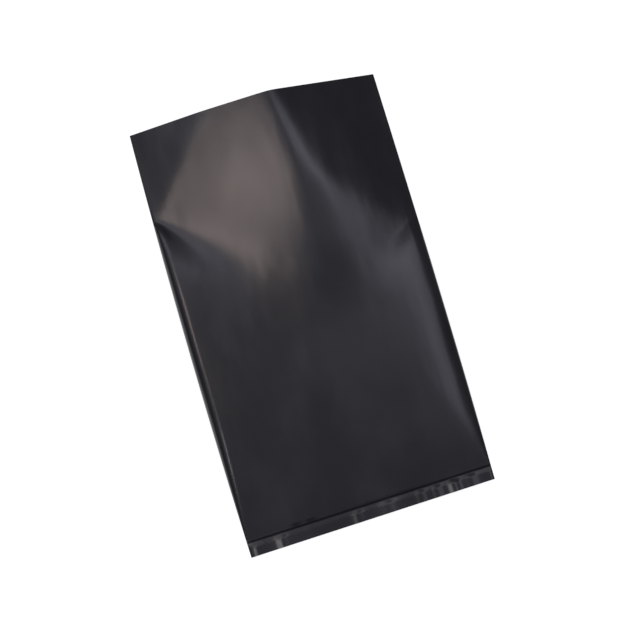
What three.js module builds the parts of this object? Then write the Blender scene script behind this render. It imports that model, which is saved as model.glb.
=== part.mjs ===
// A conductive polyethylene bag, empty, lying on its back on a flat floor.
// It is one tube of black film: cut at the mouth, creased down both sides where it was pressed flat,
// and heat-sealed across near its other end, past which a short skirt of both layers is left loose.
// A little air is left in the body, and the front lip is lifted, so the mouth stands open.
// Millimetres, +Z up, +Y from the seal towards the mouth. The origin is on the floor, under the middle.
import * as THREE from "three";

// The film, and how it was cut and sealed
const FILM = 0.1; // thickness of one layer
const LENGTH_TO_SEAL = 249.5; // from the mouth to the middle of the seal
const SKIRT_LENGTH = 9; // from the middle of the seal to the loose end
const SEAL_WIDTH = 1.6;
const SEAL_ROOT = 0.12; // height of the blunt end of the pouch, and of the skirt's slit, at the seal

// The tube from crease to crease, and how it lies: a little drawn in at its sealed end, and askew
const TUBE_WIDTH = 153;
const END_NARROWING = 4.4;
const SHIFT_AT_MOUTH = 0.7; // how far the bag's middle lies to the right
const SHIFT_AT_END = 0.3;
const SKEW_AT_MOUTH = -2; // how much further along +Y the right corner is than the left one
const SKEW_AT_END = 3.5;

// The lifted front lip. Places are measured across from the left crease, and along from the mouth.
const LIP_HEIGHT = 19.8;
const LIP_PEAK_ACROSS = 87;
const CORNER_HEIGHT = 1; // the mouth's two corners, above the floor
const CORNER_FOLD_ACROSS = 44.5; // where the left corner's sharp fold meets the lip
const CORNER_FOLD_HEIGHT = 12.9;
const RIDGE_SOFTNESS = 0.8; // how round the ridge behind the lip's peak is, at the lip
const RIDGE_SOFTENING = 0.02; // and how much rounder, for each millimetre away from it
const FOLD_SOFTNESS = 0.2; // how round the sharp folds are

// The two buckles, where a side crease gives way and the sharp folds start
const LEFT_BUCKLE_ACROSS = 2;
const LEFT_BUCKLE_ALONG = 56;
const LEFT_BUCKLE_HEIGHT = 1.2;
const RIGHT_BUCKLE_INSET = 6; // from the right crease
const RIGHT_BUCKLE_ALONG = 97;
const RIGHT_BUCKLE_HEIGHT = 3.6;

// The fan of film between the right buckle, the ridge and the body
const FAN_START = 42; // the ridge is met so far nearer to the mouth than the buckle
const FAN_END_ACROSS = 23; // where the fan's lower edge runs out, from the buckle
const FAN_END_ALONG = 34;
const FAN_END_HEIGHT = 5.6;
const FAN_SOFTNESS = 0.4; // how round the fold between the fan and the right corner is

// The valley from buckle to buckle, where the lifted film meets the body
const VALLEY_ALONG = 111; // its furthest reach from the mouth
const VALLEY_TURN = 0.77; // where it turns back, from 0 at the left buckle to 1 at the right one
const VALLEY_LEFT_BEND = 2.5; // how much it bends on its way there: 1 is straight
const VALLEY_RIGHT_BEND = 2;
const VALLEY_SOFTNESS = 1.4; // how round the valley is at a buckle
const VALLEY_SOFTENING = 0.15; // and how much rounder, for each millimetre away from it
const VALLEY_RUN = 7; // run over which the body rises behind the valley at a buckle
const VALLEY_WIDENING = 0.25; // and how much longer, for each millimetre away from it
const BUCKLE_BLEND = 8; // how gradually one buckle's reach gives way to the other's

// The body
const BODY_HEIGHT = 8.5;
const BODY_CROWN = 0.3; // how much higher the middle is than the sides
const CREASE_HEIGHT = 2.6; // the side creases, above the floor
const LEFT_ROUNDING = 6; // run over which the front turns down to a side crease
const RIGHT_ROUNDING = 30;
const SEAL_ROUNDING = 1.5; // the same in the film that is sealed flat
const SEAL_SLOPE = 80; // run over which the body flattens towards the seal
const BACK_CURL = 17; // run over which the back leaves the floor to reach a side crease

// The skirt, and the small ripples that sealing leaves in the film
const SKIRT_LIFT = 0.5; // of the front layer off the back one
const SKIRT_OPENING = 3; // run over which it lifts
const SKIRT_RIPPLES = [
  { across: 5, width: 3.5, height: 0.6 },
  { across: 20, width: 3, height: 0.7 },
  { across: 66, width: 3, height: 0.6 },
  { across: 84, width: 4, height: 0.6 },
  { across: 104, width: 3, height: 0.6 },
  { across: 114, width: 3, height: 0.7 },
  { across: 124.5, width: 3.5, height: 1.1 },
  { across: 135, width: 3.5, height: 0.7 },
];
const BODY_PUCKERS = [
  { across: 30, width: 2.6, height: 0.5 },
  { across: 39, width: 2.6, height: 0.5 },
];
const PUCKER_LENGTH = 9; // how far a pucker runs from the seal into the body

// How finely the film is divided
const FRONT_COLUMNS = 48;
const BACK_EVERY = 3; // the back has one column for so many of the front's
const CROWDING = 0.6; // of the columns towards the creases: 0 is even, 1 is most
const FOLDED_LENGTH = 130; // the stretch from the mouth that has the folds
const FLATTER_LENGTH = 24; // the stretch before the seal that has the puckers
const FOLDED_STEPS = 16;
const BODY_STEPS = 7;
const FLATTER_STEPS = 6;
const SKIRT_STEPS = 3;
const CREASE_ROOT = 0.5; // how far the inside stops short of a side crease
const LEAST_GAP = 0.06; // between the layers, where they lie together
const STEEPEST = 3; // slope past which the film is measured straight down no further

const length = LENGTH_TO_SEAL + SKIRT_LENGTH;
const pouchEnd = LENGTH_TO_SEAL - SEAL_WIDTH / 2;
const slitStart = LENGTH_TO_SEAL + SEAL_WIDTH / 2;
const sealed = 2 * FILM + SEAL_ROOT; // height of the two layers at the seal

const { lerp, clamp } = THREE.MathUtils;
const softPlus = (a, k) => Math.max(a, 0) + k * Math.log1p(Math.exp(-Math.abs(a) / k));
const softMin = (a, b, k) => Math.min(a, b) - k * Math.log1p(Math.exp(-Math.abs(a - b) / k));
const quarterRound = (t) => Math.sqrt(1 - (1 - clamp(t, 0, 1)) ** 2);
const easeOut = (t) => 1 - (1 - clamp(t, 0, 1)) ** 2;
const curveThrough = (start, middle, end, t) =>
  start * (1 - t) * (1 - 2 * t) + 4 * middle * t * (1 - t) + end * t * (2 * t - 1);
const ripples = (list, across) =>
  list.reduce((sum, r) => sum + r.height * Math.exp(-(((across - r.across) / r.width) ** 2)), 0);

// The height, at any place, of the flat facet through three points (across, along, height)
function facet(p, q, r) {
  const normal = q.clone().sub(p).cross(r.clone().sub(p));
  return (across, along) =>
    p.z - (normal.x * (across - p.x) + normal.y * (along - p.y)) / normal.z;
}

// The points where the lifted front is pinned
const leftCorner = new THREE.Vector3(0, 0, CORNER_HEIGHT);
const rightCorner = new THREE.Vector3(TUBE_WIDTH, 0, CORNER_HEIGHT);
const cornerFold = new THREE.Vector3(CORNER_FOLD_ACROSS, 0, CORNER_FOLD_HEIGHT);
const lipPeak = new THREE.Vector3(LIP_PEAK_ACROSS, 0, LIP_HEIGHT + RIDGE_SOFTNESS * Math.LN2);
const leftBuckle = new THREE.Vector3(LEFT_BUCKLE_ACROSS, LEFT_BUCKLE_ALONG, LEFT_BUCKLE_HEIGHT);
const rightBuckle = new THREE.Vector3(
  TUBE_WIDTH - RIGHT_BUCKLE_INSET,
  RIGHT_BUCKLE_ALONG,
  RIGHT_BUCKLE_HEIGHT,
);
const fanEnd = new THREE.Vector3(
  rightBuckle.x - FAN_END_ACROSS,
  rightBuckle.y + FAN_END_ALONG,
  FAN_END_HEIGHT,
);

// The facets between them: the flat left corner, the wide one that the ridge bounds, the flat right
// corner, and the fan below it
const cornerFacet = facet(leftCorner, cornerFold, leftBuckle);
const wideFacet = facet(cornerFold, lipPeak, leftBuckle);
const rightFacet = facet(lipPeak, rightCorner, rightBuckle);
const fanFacet = facet(ridgePoint(rightBuckle.y - FAN_START), rightBuckle, fanEnd);

// The point of the ridge, where the wide facet meets the right one, at a distance from the mouth
function ridgePoint(along) {
  const apart = (across) => wideFacet(across, along) - rightFacet(across, along);
  const across = apart(0) / (apart(0) - apart(1));
  return new THREE.Vector3(across, along, wideFacet(across, along));
}

function liftedFront(across, along) {
  const left = softMin(cornerFacet(across, along), wideFacet(across, along), FOLD_SOFTNESS);
  const right = softMin(rightFacet(across, along), fanFacet(across, along), FAN_SOFTNESS);
  return softMin(left, right, RIDGE_SOFTNESS + RIDGE_SOFTENING * along);
}

// How far from the mouth the valley between the buckles is
function valleyAlong(across) {
  const t = clamp((across - leftBuckle.x) / (rightBuckle.x - leftBuckle.x), 0, 1);
  return t < VALLEY_TURN
    ? lerp(VALLEY_ALONG, leftBuckle.y, (1 - t / VALLEY_TURN) ** VALLEY_LEFT_BEND)
    : lerp(VALLEY_ALONG, rightBuckle.y, ((t - VALLEY_TURN) / (1 - VALLEY_TURN)) ** VALLEY_RIGHT_BEND);
}

// The front of the air-filled body, which flattens towards the seal
function bodyFront(across, along, width) {
  const fullness = easeOut((pouchEnd - along) / SEAL_SLOPE);
  const sides =
    quarterRound(across / lerp(SEAL_ROUNDING, LEFT_ROUNDING, fullness)) *
    quarterRound((width - across) / lerp(SEAL_ROUNDING, RIGHT_ROUNDING, fullness));
  const crown = BODY_CROWN * ((2 * across) / width - 1) ** 2;
  const crease = lerp(sealed / 2, CREASE_HEIGHT, fullness);
  const top = lerp(sealed, BODY_HEIGHT - crown, fullness);
  const pucker =
    ripples(BODY_PUCKERS, across) *
    clamp(pouchEnd - along, 0, 1) *
    Math.exp((along - pouchEnd) / PUCKER_LENGTH);
  return lerp(crease, top + pucker, sides);
}

// The front layer of the skirt
function skirtFront(across, along, width) {
  const opening = clamp((along - slitStart) / SKIRT_OPENING, 0, 1);
  const lift = (SKIRT_LIFT + ripples(SKIRT_RIPPLES, across)) * opening;
  const sides =
    quarterRound(across / SEAL_ROUNDING / 2) * quarterRound((width - across) / SEAL_ROUNDING / 2);
  return lerp(sealed / 2, sealed + lift, sides);
}

// Height of the front layer's outer face: the lifted film as far as the valley, and the body behind it
function frontHeight(across, along, width) {
  if (along > pouchEnd) return skirtFront(across, along, width);
  const fromLeft = Math.hypot(across - leftBuckle.x, along - leftBuckle.y);
  const fromRight = Math.hypot(across - rightBuckle.x, along - rightBuckle.y);
  const fromBuckle = Math.max(softMin(fromLeft, fromRight, BUCKLE_BLEND), 0);
  const softness = VALLEY_SOFTNESS + VALLEY_SOFTENING * fromBuckle;
  const run = VALLEY_RUN + VALLEY_WIDENING * fromBuckle;
  const valley = valleyAlong(across);
  const lifted = liftedFront(across, valley - softPlus(valley - along, softness));
  const risen = 1 - Math.exp(-softPlus(along - valley, softness) / run);
  return lerp(lifted, bodyFront(across, along, width), risen);
}

// Height of the back layer's outer face: on the floor, and curled up to each side crease
function backHeight(across, along, width) {
  const crease = frontHeight(across < width / 2 ? 0 : width, along, width);
  const inset = Math.min(across, width - across);
  return crease * (1 - clamp(inset / BACK_CURL, 0, 1)) ** 2;
}

// A ring of film across the bag: the front's columns from left to right, then the back's from right to
// left, with one point at each crease. It holds the outer face's points, and the inner face's.
function ring(along) {
  const t = along / length;
  const width = curveThrough(TUBE_WIDTH, TUBE_WIDTH, TUBE_WIDTH - END_NARROWING, t);
  const shift = curveThrough(SHIFT_AT_MOUTH, 0, SHIFT_AT_END, t);
  const skew = lerp(SKEW_AT_MOUTH, SKEW_AT_END, t);
  const place = (across, height) =>
    new THREE.Vector3(
      across - width / 2 + shift,
      length / 2 - along + skew * (across / width - 0.5),
      height,
    );
  const front = (across) => frontHeight(across, along, width);
  const back = (across) => backHeight(across, along, width);
  const middle = (across) => (front(across) + back(across)) / 2;
  const innerHeight = (across, outerFace, side) => {
    const slope = (outerFace(across + FILM) - outerFace(across - FILM)) / (2 * FILM);
    const film = FILM * Math.min(Math.hypot(1, slope), STEEPEST);
    const halfGap = Math.max(side * (outerFace(across) - middle(across)) - film, LEAST_GAP / 2);
    return middle(across) + side * halfGap;
  };
  const points = { outer: [], inner: [] };
  for (let column = 0; column <= FRONT_COLUMNS; column++) {
    const even = (2 * column) / FRONT_COLUMNS - 1;
    const across = (width / 2) * (1 + lerp(even, Math.sin((Math.PI / 2) * even), CROWDING));
    points.outer.push(place(across, front(across)));
    points.inner.push(place(across, innerHeight(across, front, 1)));
    if (column === 0 || column === FRONT_COLUMNS) {
      const root = across + (column === 0 ? CREASE_ROOT : -CREASE_ROOT);
      points.inner[column] = place(root, middle(root));
    }
  }
  for (let column = FRONT_COLUMNS - BACK_EVERY; column > 0; column -= BACK_EVERY) {
    const across = points.outer[column].x + width / 2 - shift;
    points.outer.push(place(across, back(across)));
    points.inner.push(place(across, innerHeight(across, back, -1)));
  }
  return points;
}

// The film as one closed surface
const positions = [];
const triangles = [];

function addPoints(points) {
  return points.map((p) => positions.push(p.x, p.y, p.z) / 3 - 1);
}

function addTriangle(a, b, c, flip) {
  if (a !== b && b !== c && c !== a) triangles.push(a, flip ? c : b, flip ? b : c);
}

// A closed band between two rings of as many points
function addBand(from, to, flip) {
  from.forEach((a, i) => {
    const next = (i + 1) % from.length;
    addTriangle(a, to[i], from[next], flip);
    addTriangle(from[next], to[i], to[next], flip);
  });
}

// The blunt wall at the seal, between the front's and the back's inner points of one ring
function addEndWall(inner, flip) {
  const front = inner.slice(0, FRONT_COLUMNS + 1);
  const back = [inner[0], ...inner.slice(FRONT_COLUMNS).reverse()];
  for (let i = 0; i < FRONT_COLUMNS; i++) {
    const j = Math.floor(i / BACK_EVERY);
    if (i % BACK_EVERY === 0 && i > 0) addTriangle(front[i], back[j], back[j - 1], flip);
    addTriangle(front[i], front[i + 1], back[j], flip);
  }
  addTriangle(front[FRONT_COLUMNS], back[back.length - 1], back[back.length - 2], flip);
}

// Distances from the mouth, in even steps from one to another
function steps(from, to, count) {
  return Array.from({ length: count }, (_, i) => lerp(from, to, i / count));
}

const pouchRings = [
  ...steps(0, FOLDED_LENGTH, FOLDED_STEPS),
  ...steps(FOLDED_LENGTH, pouchEnd - FLATTER_LENGTH, BODY_STEPS),
  ...steps(pouchEnd - FLATTER_LENGTH, pouchEnd, FLATTER_STEPS),
  pouchEnd,
].map(ring);
const skirtRings = [...steps(slitStart, length, SKIRT_STEPS), length].map(ring);

const outer = [...pouchRings, ...skirtRings].map((points) => addPoints(points.outer));
const pouch = pouchRings.map((points) => addPoints(points.inner));
const slit = skirtRings.map((points) => addPoints(points.inner));
const addSkin = (rings, flip) =>
  rings.slice(1).forEach((to, i) => addBand(rings[i], to, flip));

addSkin(outer, false);
addSkin(pouch, true);
addSkin(slit, true);
addBand(pouch[0], outer[0], false);
addBand(outer[outer.length - 1], slit[slit.length - 1], false);
addEndWall(pouch[pouch.length - 1], false);
addEndWall(slit[0], true);

const geometry = new THREE.BufferGeometry();
geometry.setAttribute("position", new THREE.Float32BufferAttribute(positions, 3));
geometry.setIndex(triangles);
geometry.computeBoundingBox();
const { min, max } = geometry.boundingBox;
geometry.translate(-(min.x + max.x) / 2, -(min.y + max.y) / 2, -min.z);
geometry.computeVertexNormals();

const blackFilm = new THREE.MeshStandardMaterial({ color: 0x1b1b1e, roughness: 0.4, metalness: 0 });
const bag = new THREE.Mesh(geometry, blackFilm);
bag.name = "bag";

const root = new THREE.Group();
root.add(bag);
export default root;
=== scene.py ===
import math

import bpy
import numpy as np
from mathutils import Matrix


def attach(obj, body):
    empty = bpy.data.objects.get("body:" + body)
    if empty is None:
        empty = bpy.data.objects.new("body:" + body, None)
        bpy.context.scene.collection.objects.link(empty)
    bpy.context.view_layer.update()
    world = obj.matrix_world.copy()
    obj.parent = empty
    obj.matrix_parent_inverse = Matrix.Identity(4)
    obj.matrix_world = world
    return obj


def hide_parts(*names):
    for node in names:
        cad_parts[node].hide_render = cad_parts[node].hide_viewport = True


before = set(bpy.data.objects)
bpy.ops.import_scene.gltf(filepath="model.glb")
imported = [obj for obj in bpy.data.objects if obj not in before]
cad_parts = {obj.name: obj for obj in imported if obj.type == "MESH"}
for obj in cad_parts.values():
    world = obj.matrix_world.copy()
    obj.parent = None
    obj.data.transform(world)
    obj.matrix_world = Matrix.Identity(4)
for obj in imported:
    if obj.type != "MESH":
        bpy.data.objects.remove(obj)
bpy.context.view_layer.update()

# The film, and how it was cut and sealed
FILM = 0.1
LENGTH_TO_SEAL = 249.5
SKIRT_LENGTH = 9.0
SEAL_WIDTH = 1.6
SEAL_ROOT = 0.12

# The tube from crease to crease, and how it lies
TUBE_WIDTH = 153.0
END_NARROWING = 4.4
SHIFT_AT_MOUTH = 0.7
SHIFT_AT_END = 0.3
SKEW_AT_MOUTH = -2.0
SKEW_AT_END = 3.5

# The lifted front lip
LIP_HEIGHT = 19.8
LIP_PEAK_ACROSS = 87.0
CORNER_HEIGHT = 1.0
CORNER_FOLD_ACROSS = 44.5
CORNER_FOLD_HEIGHT = 12.9
RIDGE_SOFTNESS = 0.8
RIDGE_SOFTENING = 0.02
FOLD_SOFTNESS = 0.2

# The two buckles
LEFT_BUCKLE_ACROSS = 2.0
LEFT_BUCKLE_ALONG = 56.0
LEFT_BUCKLE_HEIGHT = 1.2
RIGHT_BUCKLE_INSET = 6.0
RIGHT_BUCKLE_ALONG = 97.0
RIGHT_BUCKLE_HEIGHT = 3.6

# The fan below the right buckle
FAN_START = 42.0  # the ridge is met so far nearer to the mouth than the buckle
FAN_END_ACROSS = 23.0
FAN_END_ALONG = 34.0
FAN_END_HEIGHT = 5.6
FAN_SOFTNESS = 0.4

# The valley from buckle to buckle
VALLEY_ALONG = 111.0
VALLEY_TURN = 0.77
VALLEY_LEFT_BEND = 2.5
VALLEY_RIGHT_BEND = 2.0
VALLEY_SOFTNESS = 1.4
VALLEY_SOFTENING = 0.15
VALLEY_RUN = 7.0
VALLEY_WIDENING = 0.25
BUCKLE_BLEND = 8.0  # how gradually one buckle's reach gives way to the other's

# The body
BODY_HEIGHT = 8.5
BODY_CROWN = 0.3
CREASE_HEIGHT = 2.6
LEFT_ROUNDING = 6.0
RIGHT_ROUNDING = 30.0
SEAL_ROUNDING = 1.5
SEAL_SLOPE = 80.0
BACK_CURL = 17.0

# The skirt, and the ripples that sealing leaves: (across, width, height)
SKIRT_LIFT = 0.5
SKIRT_OPENING = 3.0
SKIRT_RIPPLES = [
    (5, 3.5, 0.6),
    (20, 3, 0.7),
    (66, 3, 0.6),
    (84, 4, 0.6),
    (104, 3, 0.6),
    (114, 3, 0.7),
    (124.5, 3.5, 1.1),
    (135, 3.5, 0.7),
]
BODY_PUCKERS = [(30, 2.6, 0.5), (39, 2.6, 0.5)]
PUCKER_LENGTH = 9.0

# How finely the film is divided
FRONT_COLUMNS = 198
BACK_EVERY = 3  # the back has one column for so many of the front's
CROWDING = 0.6  # of the columns towards the creases
FOLDED_LENGTH = 130.0
FLATTER_LENGTH = 24.0
FOLDED_STEPS = 172
BODY_STEPS = 76
FLATTER_STEPS = 28
SKIRT_STEPS = 13
INNER_EVERY = 4  # the pouch's inside has one ring for so many of the outside's
INNER_SETTLING = 0.6  # how much further in that coarser inside lies, so that it stays inside
SETTLING_RUN = 10.0  # run over which it settles there, from the mouth and from the seal
CREASE_ROOT = 0.5  # how far the inside stops short of a side crease
LEAST_GAP = 0.06
SHARP_FOLD = 50  # degrees past which an edge is drawn sharp

MM = 0.001

length = LENGTH_TO_SEAL + SKIRT_LENGTH
pouch_end = LENGTH_TO_SEAL - SEAL_WIDTH / 2
slit_start = LENGTH_TO_SEAL + SEAL_WIDTH / 2
sealed = 2 * FILM + SEAL_ROOT


def lerp(a, b, t):
    return a + (b - a) * t


def soft_plus(a, k):
    return np.maximum(a, 0) + k * np.log1p(np.exp(-np.abs(a) / k))


def soft_min(a, b, k):
    return np.minimum(a, b) - k * np.log1p(np.exp(-np.abs(a - b) / k))


def quarter_round(t):
    return np.sqrt(1 - (1 - np.clip(t, 0, 1)) ** 2)


def ease_out(t):
    return 1 - (1 - np.clip(t, 0, 1)) ** 2


def curve_through(start, middle, end, t):
    return start * (1 - t) * (1 - 2 * t) + 4 * middle * t * (1 - t) + end * t * (2 * t - 1)


def ripples(rows, across):
    return sum(h * np.exp(-(((across - a) / w) ** 2)) for a, w, h in rows)


def facet(p, q, r):
    """The height, at any place, of the flat facet through three points (across, along, height)."""
    p, q, r = (np.array(v, float) for v in (p, q, r))
    n = np.cross(q - p, r - p)
    return lambda across, along: p[2] - (n[0] * (across - p[0]) + n[1] * (along - p[1])) / n[2]


left_corner = (0, 0, CORNER_HEIGHT)
right_corner = (TUBE_WIDTH, 0, CORNER_HEIGHT)
corner_fold = (CORNER_FOLD_ACROSS, 0, CORNER_FOLD_HEIGHT)
lip_peak = (LIP_PEAK_ACROSS, 0, LIP_HEIGHT + RIDGE_SOFTNESS * math.log(2))
left_buckle = (LEFT_BUCKLE_ACROSS, LEFT_BUCKLE_ALONG, LEFT_BUCKLE_HEIGHT)
right_buckle = (TUBE_WIDTH - RIGHT_BUCKLE_INSET, RIGHT_BUCKLE_ALONG, RIGHT_BUCKLE_HEIGHT)
fan_end = (right_buckle[0] - FAN_END_ACROSS, right_buckle[1] + FAN_END_ALONG, FAN_END_HEIGHT)

corner_facet = facet(left_corner, corner_fold, left_buckle)
wide_facet = facet(corner_fold, lip_peak, left_buckle)
right_facet = facet(lip_peak, right_corner, right_buckle)


def ridge_point(along):
    """The point of the ridge, where the wide facet meets the right one, so far from the mouth."""
    apart = [wide_facet(x, along) - right_facet(x, along) for x in (0, 1)]
    across = apart[0] / (apart[0] - apart[1])
    return (across, along, wide_facet(across, along))


fan_facet = facet(ridge_point(right_buckle[1] - FAN_START), right_buckle, fan_end)


def lifted_front(across, along):
    left = soft_min(corner_facet(across, along), wide_facet(across, along), FOLD_SOFTNESS)
    right = soft_min(right_facet(across, along), fan_facet(across, along), FAN_SOFTNESS)
    return soft_min(left, right, RIDGE_SOFTNESS + RIDGE_SOFTENING * along)


def valley_along(across):
    """How far from the mouth the valley between the buckles is."""
    t = np.clip((across - left_buckle[0]) / (right_buckle[0] - left_buckle[0]), 0, 1)
    left = np.clip(1 - t / VALLEY_TURN, 0, 1) ** VALLEY_LEFT_BEND
    right = np.clip((t - VALLEY_TURN) / (1 - VALLEY_TURN), 0, 1) ** VALLEY_RIGHT_BEND
    return np.where(
        t < VALLEY_TURN,
        lerp(VALLEY_ALONG, left_buckle[1], left),
        lerp(VALLEY_ALONG, right_buckle[1], right),
    )


def body_front(across, along, width):
    """The front of the air-filled body, which flattens towards the seal."""
    fullness = ease_out((pouch_end - along) / SEAL_SLOPE)
    sides = quarter_round(across / lerp(SEAL_ROUNDING, LEFT_ROUNDING, fullness)) * quarter_round(
        (width - across) / lerp(SEAL_ROUNDING, RIGHT_ROUNDING, fullness)
    )
    crown = BODY_CROWN * (2 * across / width - 1) ** 2
    crease = lerp(sealed / 2, CREASE_HEIGHT, fullness)
    top = lerp(sealed, BODY_HEIGHT - crown, fullness)
    to_seal = np.maximum(pouch_end - along, 0)
    pucker = ripples(BODY_PUCKERS, across) * np.minimum(to_seal, 1) * np.exp(-to_seal / PUCKER_LENGTH)
    return lerp(crease, top + pucker, sides)


def skirt_front(across, along, width):
    opening = np.clip((along - slit_start) / SKIRT_OPENING, 0, 1)
    lift = (SKIRT_LIFT + ripples(SKIRT_RIPPLES, across)) * opening
    sides = quarter_round(across / SEAL_ROUNDING / 2) * quarter_round((width - across) / SEAL_ROUNDING / 2)
    return lerp(sealed / 2, sealed + lift, sides)


def front_height(across, along, width):
    """Height of the front layer's outer face: the lifted film to the valley, and the body behind it."""
    from_left = np.hypot(across - left_buckle[0], along - left_buckle[1])
    from_right = np.hypot(across - right_buckle[0], along - right_buckle[1])
    from_buckle = np.maximum(soft_min(from_left, from_right, BUCKLE_BLEND), 0)
    softness = VALLEY_SOFTNESS + VALLEY_SOFTENING * from_buckle
    run = VALLEY_RUN + VALLEY_WIDENING * from_buckle
    valley = valley_along(across)
    lifted = lifted_front(across, valley - soft_plus(valley - along, softness))
    risen = 1 - np.exp(-soft_plus(along - valley, softness) / run)
    pouch = lerp(lifted, body_front(across, along, width), risen)
    return np.where(along > pouch_end, skirt_front(across, along, width), pouch)


def back_height(across, along, width):
    """Height of the back layer's outer face: on the table, and curled up to each side crease."""
    crease = front_height(np.where(across < width / 2, 0, width), along, width)
    inset = np.minimum(across, width - across)
    return crease * (1 - np.clip(inset / BACK_CURL, 0, 1)) ** 2


def rings(alongs):
    """The outer and inner points of the film's rings: front from left to right, then the back from
    right to left, with one point at each crease. Each is an array (ring, point, xyz)."""
    along = np.asarray(alongs, float)[:, None]
    t = along / length
    width = curve_through(TUBE_WIDTH, TUBE_WIDTH, TUBE_WIDTH - END_NARROWING, t)
    shift = curve_through(SHIFT_AT_MOUTH, 0, SHIFT_AT_END, t)
    skew = lerp(SKEW_AT_MOUTH, SKEW_AT_END, t)
    even = np.linspace(-1, 1, FRONT_COLUMNS + 1)[None, :]
    across = width / 2 * (1 + lerp(even, np.sin(math.pi / 2 * even), CROWDING))

    def place(x, height):
        return np.stack(
            [x - width / 2 + shift, length / 2 - along + skew * (x / width - 0.5), height], -1
        )

    front = front_height(across, along, width)
    back = back_height(across, along, width)
    middle = (front + back) / 2
    film = FILM + INNER_SETTLING * np.clip(along / SETTLING_RUN, 0, 1) * np.clip(
        (pouch_end - along) / SETTLING_RUN, 0, 1
    )
    half_gap = np.maximum((front - back) / 2 - film, LEAST_GAP / 2)
    root = across.copy()
    root[:, 0] += CREASE_ROOT
    root[:, -1] -= CREASE_ROOT
    half_gap[:, 0] = half_gap[:, -1] = 0
    behind = slice(FRONT_COLUMNS - BACK_EVERY, 0, -BACK_EVERY)
    outer = np.concatenate([place(across, front), place(across, back)[:, behind]], 1)
    inner = np.concatenate(
        [place(root, middle + half_gap), place(root, middle - half_gap)[:, behind]], 1
    )
    return outer, inner


def build_film():
    """The film as one closed surface: an array of points, and a list of faces."""
    pouch = np.concatenate(
        [
            np.linspace(0, FOLDED_LENGTH, FOLDED_STEPS, endpoint=False),
            np.linspace(FOLDED_LENGTH, pouch_end - FLATTER_LENGTH, BODY_STEPS, endpoint=False),
            np.linspace(pouch_end - FLATTER_LENGTH, pouch_end, FLATTER_STEPS + 1),
        ]
    )
    skirt = np.linspace(slit_start, length, SKIRT_STEPS + 1)
    inner_pouch = np.append(pouch[:-1:INNER_EVERY], pouch_end)
    outer_rings = rings(np.concatenate([pouch, skirt]))[0]
    pouch_rings = rings(inner_pouch)[1]
    slit_rings = rings(skirt)[1]
    points, faces = [], []

    def add(grid):
        first = sum(len(p) for p in points)
        points.append(grid.reshape(-1, 3))
        return first + np.arange(grid.shape[0] * grid.shape[1]).reshape(grid.shape[:2])

    def band(a, b, flip):
        an, bn = np.roll(a, -1), np.roll(b, -1)
        quad = np.stack([a, b, bn, an], 1)
        faces.extend((quad[:, ::-1] if flip else quad).tolist())

    def end_wall(ring, flip):
        front = ring[: FRONT_COLUMNS + 1]
        back = np.concatenate([ring[:1], ring[FRONT_COLUMNS:][::-1]])
        for j in range(len(back) - 1):
            run = front[j * BACK_EVERY : (j + 1) * BACK_EVERY + 1].tolist()
            loop = run + [back[j + 1], back[j]]
            loop = [v for k, v in enumerate(loop) if v not in loop[:k]]
            faces.append([int(v) for v in (loop[::-1] if flip else loop)])

    outer, inner, slit = add(outer_rings), add(pouch_rings), add(slit_rings)
    for skin, flip in ((outer, False), (inner, True), (slit, True)):
        for a, b in zip(skin[:-1], skin[1:]):
            band(a, b, flip)
    band(inner[0], outer[0], False)
    band(outer[-1], slit[-1], False)
    end_wall(inner[-1], False)
    end_wall(slit[0], True)
    return np.concatenate(points), faces


def make_film():
    """The film's piece, with the origin on the table under the middle of the bag."""
    points, faces = build_film()
    low, high = points.min(0), points.max(0)
    points -= [(low[0] + high[0]) / 2, (low[1] + high[1]) / 2, low[2]]
    mesh = bpy.data.meshes.new("film")
    mesh.from_pydata((points * MM).tolist(), [], faces)
    mesh.update()
    mesh.shade_smooth()
    mesh.set_sharp_from_angle(angle=math.radians(SHARP_FOLD))
    piece = bpy.data.objects.new("film", mesh)
    bpy.context.scene.collection.objects.link(piece)
    return piece


film = make_film()
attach(film, "root")
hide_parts("bag")


def calculated(tree, operation, a, b=0):
    """The result of a calculation with two values, each a number or a node's output."""
    node = tree.nodes.new("ShaderNodeMath")
    node.operation = operation
    for socket, value in zip(node.inputs, (a, b)):
        if isinstance(value, (int, float)):
            socket.default_value = value
        else:
            tree.links.new(value, socket)
    return node.outputs[0]


def ranged(tree, value, source, target):
    """A value taken smoothly from one range to another."""
    node = tree.nodes.new("ShaderNodeMapRange")
    node.interpolation_type = "SMOOTHSTEP"
    tree.links.new(value, node.inputs["Value"])
    for name, number in zip(("From Min", "From Max", "To Min", "To Max"), (*source, *target)):
        node.inputs[name].default_value = number
    return node.outputs["Result"]


def noise(tree, where, scale, detail, stretch):
    mapping = tree.nodes.new("ShaderNodeMapping")
    mapping.inputs["Scale"].default_value = (1, 1 / stretch, 1)
    tree.links.new(where, mapping.inputs["Vector"])
    texture = tree.nodes.new("ShaderNodeTexNoise")
    texture.inputs["Scale"].default_value = scale
    texture.inputs["Detail"].default_value = detail
    tree.links.new(mapping.outputs[0], texture.inputs["Vector"])
    return texture.outputs["Fac"]


def bumped(tree, height, strength, distance, before):
    """The normal that a height gives, on top of the bumps before it."""
    node = tree.nodes.new("ShaderNodeBump")
    node.inputs["Strength"].default_value = strength
    node.inputs["Distance"].default_value = distance
    tree.links.new(height, node.inputs["Height"])
    if before is not None:
        tree.links.new(before, node.inputs["Normal"])
    return node.outputs["Normal"]


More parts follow.
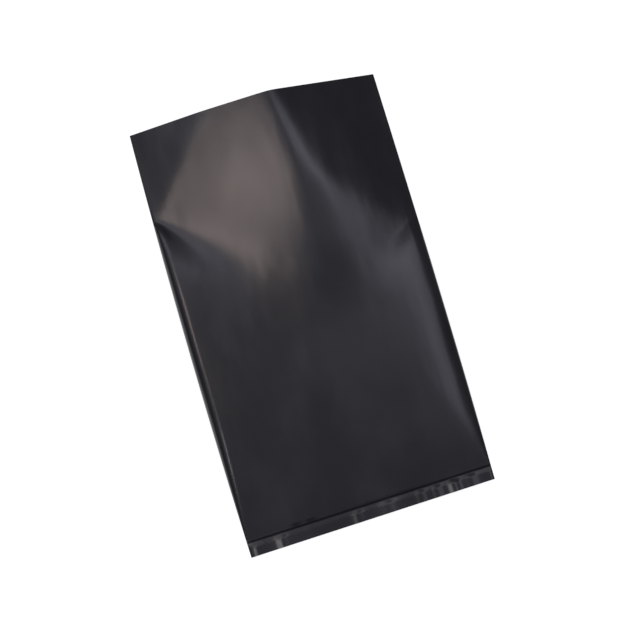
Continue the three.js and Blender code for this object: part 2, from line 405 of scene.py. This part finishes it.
# The black film: semi-gloss, a little cloudy where it was handled, with faint flow lines along the tube,
# and dull where the seal bar pressed it
FILM_COLOUR = (0.008, 0.008, 0.0093, 1)
FILM_ROUGHNESS = 0.23
GLOSS = 0.5
CLOUDINESS = 0.16  # how far the gloss goes up and down, as a share of it
CLOUDED = (0.35, 0.65)  # the stretch of the noise that makes the clouds
WELD_GLOSS = 0.12
WELD_WIDTH = 1.8

# The noise: how many features to the metre across the bag, how fine, and how stretched along it
CLOUDS = (24, 4, 1.6)
WAVES = (38, 2, 2.5)
FLOW_LINES = (260, 2, 14)
GRAIN = (1100, 3, 1)
# The bumps: the noise, how strong, and how deep in metres
BUMPS = [(WAVES, 1, 0.0006), (FLOW_LINES, 0.3, 0.0001), (GRAIN, 0.25, 0.0001)]


def distance_from_weld(tree, where):
    """How far a place on the film is from the line of the seal, in metres."""
    along_bag = LENGTH_TO_SEAL / length
    width = curve_through(TUBE_WIDTH, TUBE_WIDTH, TUBE_WIDTH - END_NARROWING, along_bag)
    lean = lerp(SKEW_AT_MOUTH, SKEW_AT_END, along_bag) / width
    place = tree.nodes.new("ShaderNodeSeparateXYZ")
    tree.links.new(where, place.inputs[0])
    leaned = calculated(tree, "MULTIPLY", place.outputs["X"], lean)
    straight = calculated(tree, "SUBTRACT", place.outputs["Y"], leaned)
    apart = calculated(tree, "SUBTRACT", straight, (length / 2 - LENGTH_TO_SEAL) * MM)
    return calculated(tree, "ABSOLUTE", apart)


def black_film():
    material = bpy.data.materials.new("black_film")
    material.use_nodes = True
    tree = material.node_tree
    shader = tree.nodes["Principled BSDF"]
    shader.inputs["Base Color"].default_value = FILM_COLOUR
    shader.inputs["Roughness"].default_value = FILM_ROUGHNESS
    where = tree.nodes.new("ShaderNodeTexCoord").outputs["Object"]
    clouds = (GLOSS * (1 - CLOUDINESS), GLOSS * (1 + CLOUDINESS))
    cloudy = ranged(tree, noise(tree, where, *CLOUDS), CLOUDED, clouds)
    weld_edge = (WELD_WIDTH / 4 * MM, WELD_WIDTH / 2 * MM)
    off_weld = ranged(tree, distance_from_weld(tree, where), weld_edge, (WELD_GLOSS / GLOSS, 1))
    gloss = calculated(tree, "MULTIPLY", cloudy, off_weld)
    tree.links.new(gloss, shader.inputs["Specular IOR Level"])
    normal = None
    for texture, strength, depth in BUMPS:
        normal = bumped(tree, noise(tree, where, *texture), strength, depth, normal)
    tree.links.new(normal, shader.inputs["Normal"])
    return material


film.data.materials.append(black_film())

# The white table, which glows for what looks at it, and keeps the bag's shadow
TABLE_SIZE = 6.0
TABLE_GLOW = 0.8
TABLE_COLOUR = 0.5


def seen_directly(tree):
    """1 for camera, glossy and transmission rays, and 0 for the others."""
    path = tree.nodes.new("ShaderNodeLightPath")
    seen = path.outputs["Is Camera Ray"]
    for ray in ("Is Glossy Ray", "Is Transmission Ray"):
        seen = calculated(tree, "MAXIMUM", seen, path.outputs[ray])
    return seen


def white_table():
    material = bpy.data.materials.new("white_table")
    material.use_nodes = True
    tree = material.node_tree
    tree.nodes.clear()
    output = tree.nodes.new("ShaderNodeOutputMaterial")
    diffuse = tree.nodes.new("ShaderNodeBsdfDiffuse")
    diffuse.inputs["Color"].default_value = (TABLE_COLOUR, TABLE_COLOUR, TABLE_COLOUR, 1)
    glow = tree.nodes.new("ShaderNodeEmission")
    both = tree.nodes.new("ShaderNodeAddShader")
    tree.links.new(calculated(tree, "MULTIPLY", seen_directly(tree), TABLE_GLOW), glow.inputs["Strength"])
    tree.links.new(diffuse.outputs[0], both.inputs[0])
    tree.links.new(glow.outputs[0], both.inputs[1])
    tree.links.new(both.outputs[0], output.inputs["Surface"])
    return material


def make_table():
    mesh = bpy.data.meshes.new("table")
    half = TABLE_SIZE / 2
    corners = [(-half, -half, 0), (half, -half, 0), (half, half, 0), (-half, half, 0)]
    mesh.from_pydata(corners, [], [(0, 1, 2, 3)])
    mesh.materials.append(white_table())
    table = bpy.data.objects.new("table", mesh)
    bpy.context.scene.collection.objects.link(table)
    return table


table = make_table()

# The room: dim for the film, and white for the camera, past the table's edge
ROOM_LIGHT = (0.214, 0.216, 0.252, 1)
BACKDROP = (1, 1, 1, 1)


def make_room():
    world = bpy.data.worlds.new("room")
    bpy.context.scene.world = world
    world.use_nodes = True
    tree = world.node_tree
    tree.nodes.clear()
    output = tree.nodes.new("ShaderNodeOutputWorld")
    room = tree.nodes.new("ShaderNodeBackground")
    room.inputs["Color"].default_value = ROOM_LIGHT
    backdrop = tree.nodes.new("ShaderNodeBackground")
    backdrop.inputs["Color"].default_value = BACKDROP
    path = tree.nodes.new("ShaderNodeLightPath")
    either = tree.nodes.new("ShaderNodeMixShader")
    tree.links.new(path.outputs["Is Camera Ray"], either.inputs["Fac"])
    tree.links.new(room.outputs[0], either.inputs[1])
    tree.links.new(backdrop.outputs[0], either.inputs[2])
    tree.links.new(either.outputs[0], output.inputs["Surface"])


make_room()

# The lamps hang level above the table: (name, place, size, colour, radiance)
LAMPS = [
    ("softbox", (-0.33, 0.2, 0.97), (0.32, 0.15), (1.0, 0.81, 0.75), 5.2),
    ("window", (-0.22, 0.61, 0.98), (0.6, 0.5), (0.94, 0.94, 1.1), 0.95),
    ("strip", (0.58, 0.07, 0.99), (0.3, 0.63), (0.95, 0.94, 1.1), 1.1),
    ("skylight", (0.3, 0.3, 0.985), (0.36, 0.18), (0.94, 0.94, 1.1), 1.5),
    ("lamp", (-0.38, -0.15, 0.96), (0.2, 0.18), (1.0, 0.98, 0.97), 5.0),
    ("ceiling", (-0.3, 0.3, 1.0), (1.8, 1.9), (0.94, 0.94, 1.1), 0.3),
]


def add_lamp(name, place, size, colour, radiance):
    light = bpy.data.lights.new(name, "AREA")
    light.shape = "RECTANGLE"
    light.size, light.size_y = size
    light.color = colour
    light.energy = radiance * math.pi * size[0] * size[1]
    lamp = bpy.data.objects.new(name, light)
    lamp.location = place
    lamp.visible_camera = False
    bpy.context.scene.collection.objects.link(lamp)


for lamp in LAMPS:
    add_lamp(*lamp)

# The camera, almost overhead: its turn is in degrees, and its lens and sensor in millimetres
CAMERA_PLACE = (-0.06317, -0.121, 0.75952)
CAMERA_TURN = (9.4344, -2.368, -16.3918)
LENS = 73.125
SENSOR = 36.0


def add_camera():
    data = bpy.data.cameras.new("camera")
    data.lens = LENS
    data.sensor_width = SENSOR
    camera = bpy.data.objects.new("camera", data)
    camera.location = CAMERA_PLACE
    camera.rotation_euler = [math.radians(a) for a in CAMERA_TURN]
    bpy.context.scene.collection.objects.link(camera)
    bpy.context.scene.camera = camera


add_camera()
bpy.context.scene.view_settings.view_transform = "Standard"

bpy.context.view_layer.update()
